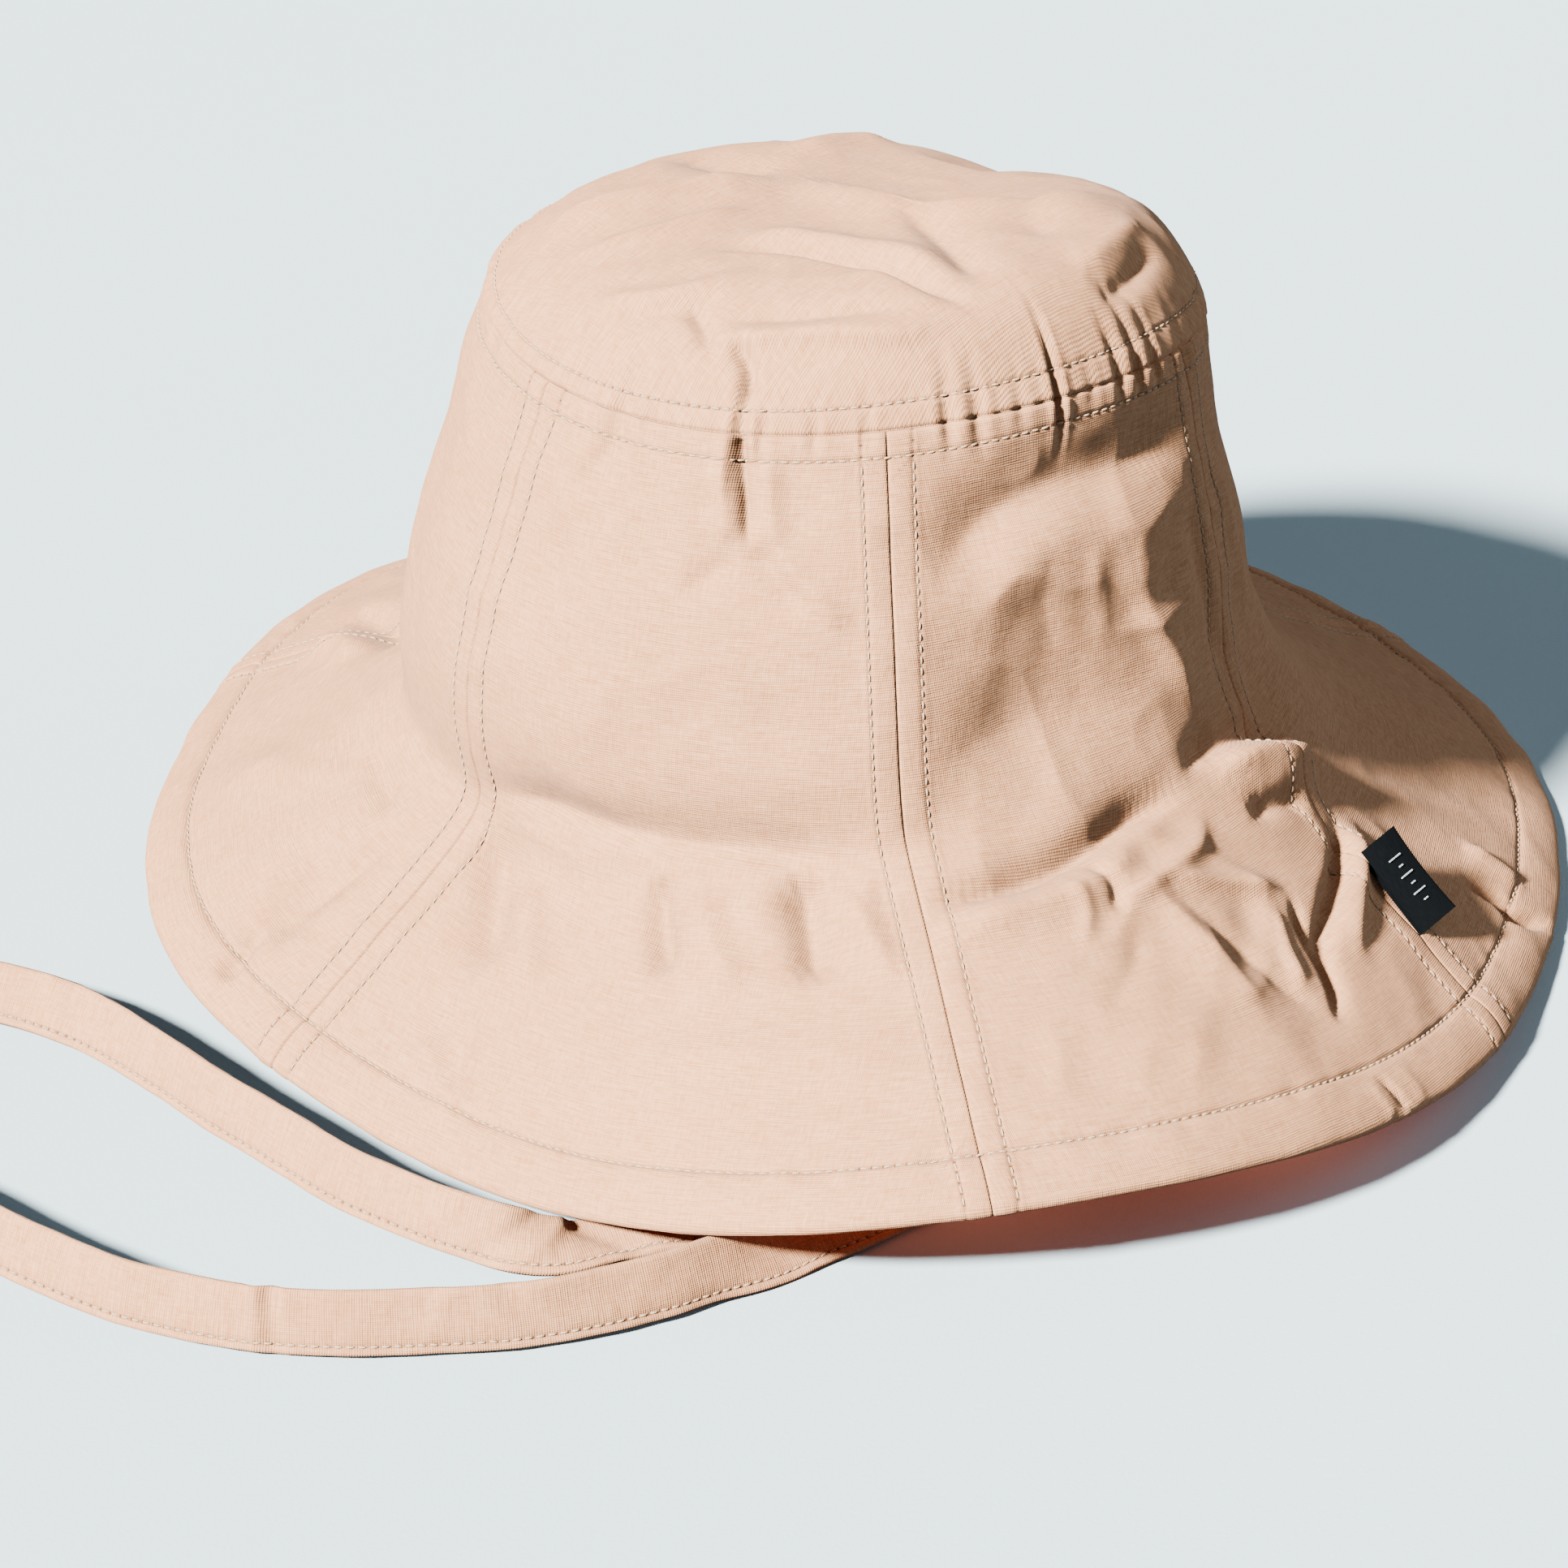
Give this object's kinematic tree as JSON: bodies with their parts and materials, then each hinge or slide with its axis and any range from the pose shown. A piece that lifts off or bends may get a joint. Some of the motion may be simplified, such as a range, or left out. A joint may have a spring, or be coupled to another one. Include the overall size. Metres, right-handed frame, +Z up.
{
  "type": "bucket hat",
  "caption": "Soft six-panel bucket sun hat with a round tip, a flared turned brim, a full lining, a sweatband and two flat chin ties.",
  "frame": {"origin": "middle of the brim's bounding box, on the table that the hat stands on", "axes": "+Z up through the crown, -Y to the front, +X to the right as seen from the front"},
  "size_m": [0.4011, 0.3711, 0.1797],
  "materials": {
    "outer_cloth": "matte plain-weave cotton and linen, blush pink",
    "lining_cloth": "matte plain-weave cotton, blush pink",
    "sweatband_cloth": "matte cotton twill, pale blush",
    "tie_cloth": "matte plain-weave cotton and linen, blush pink",
    "thread": "polyester sewing thread, pale cream pink",
    "label_weave": "black satin-woven ribbon"
  },
  "bodies": {
    "root": {"crown_tip": "outer_cloth", "outer_panel_1": "outer_cloth", "outer_panel_2": "outer_cloth", "outer_panel_3": "outer_cloth", "outer_panel_4": "outer_cloth", "outer_panel_5": "outer_cloth", "outer_panel_6": "outer_cloth", "lining_tip": "lining_cloth", "lining_panel_1": "lining_cloth", "lining_panel_2": "lining_cloth", "lining_panel_3": "lining_cloth", "lining_panel_4": "lining_cloth", "lining_panel_5": "lining_cloth", "lining_panel_6": "lining_cloth", "sweatband": "sweatband_cloth", "crown_topstitch_upper": "thread", "crown_topstitch_lower": "thread", "seam_topstitch_1": "thread", "seam_topstitch_2": "thread", "seam_topstitch_3": "thread", "seam_topstitch_4": "thread", "seam_topstitch_5": "thread", "seam_topstitch_6": "thread", "hem_topstitch": "thread", "woven_label": "label_weave", "bartack_left": "thread", "bartack_right": "thread", "tie_left": "tie_cloth", "tie_right": "tie_cloth"}
  },
  "joints": []
}
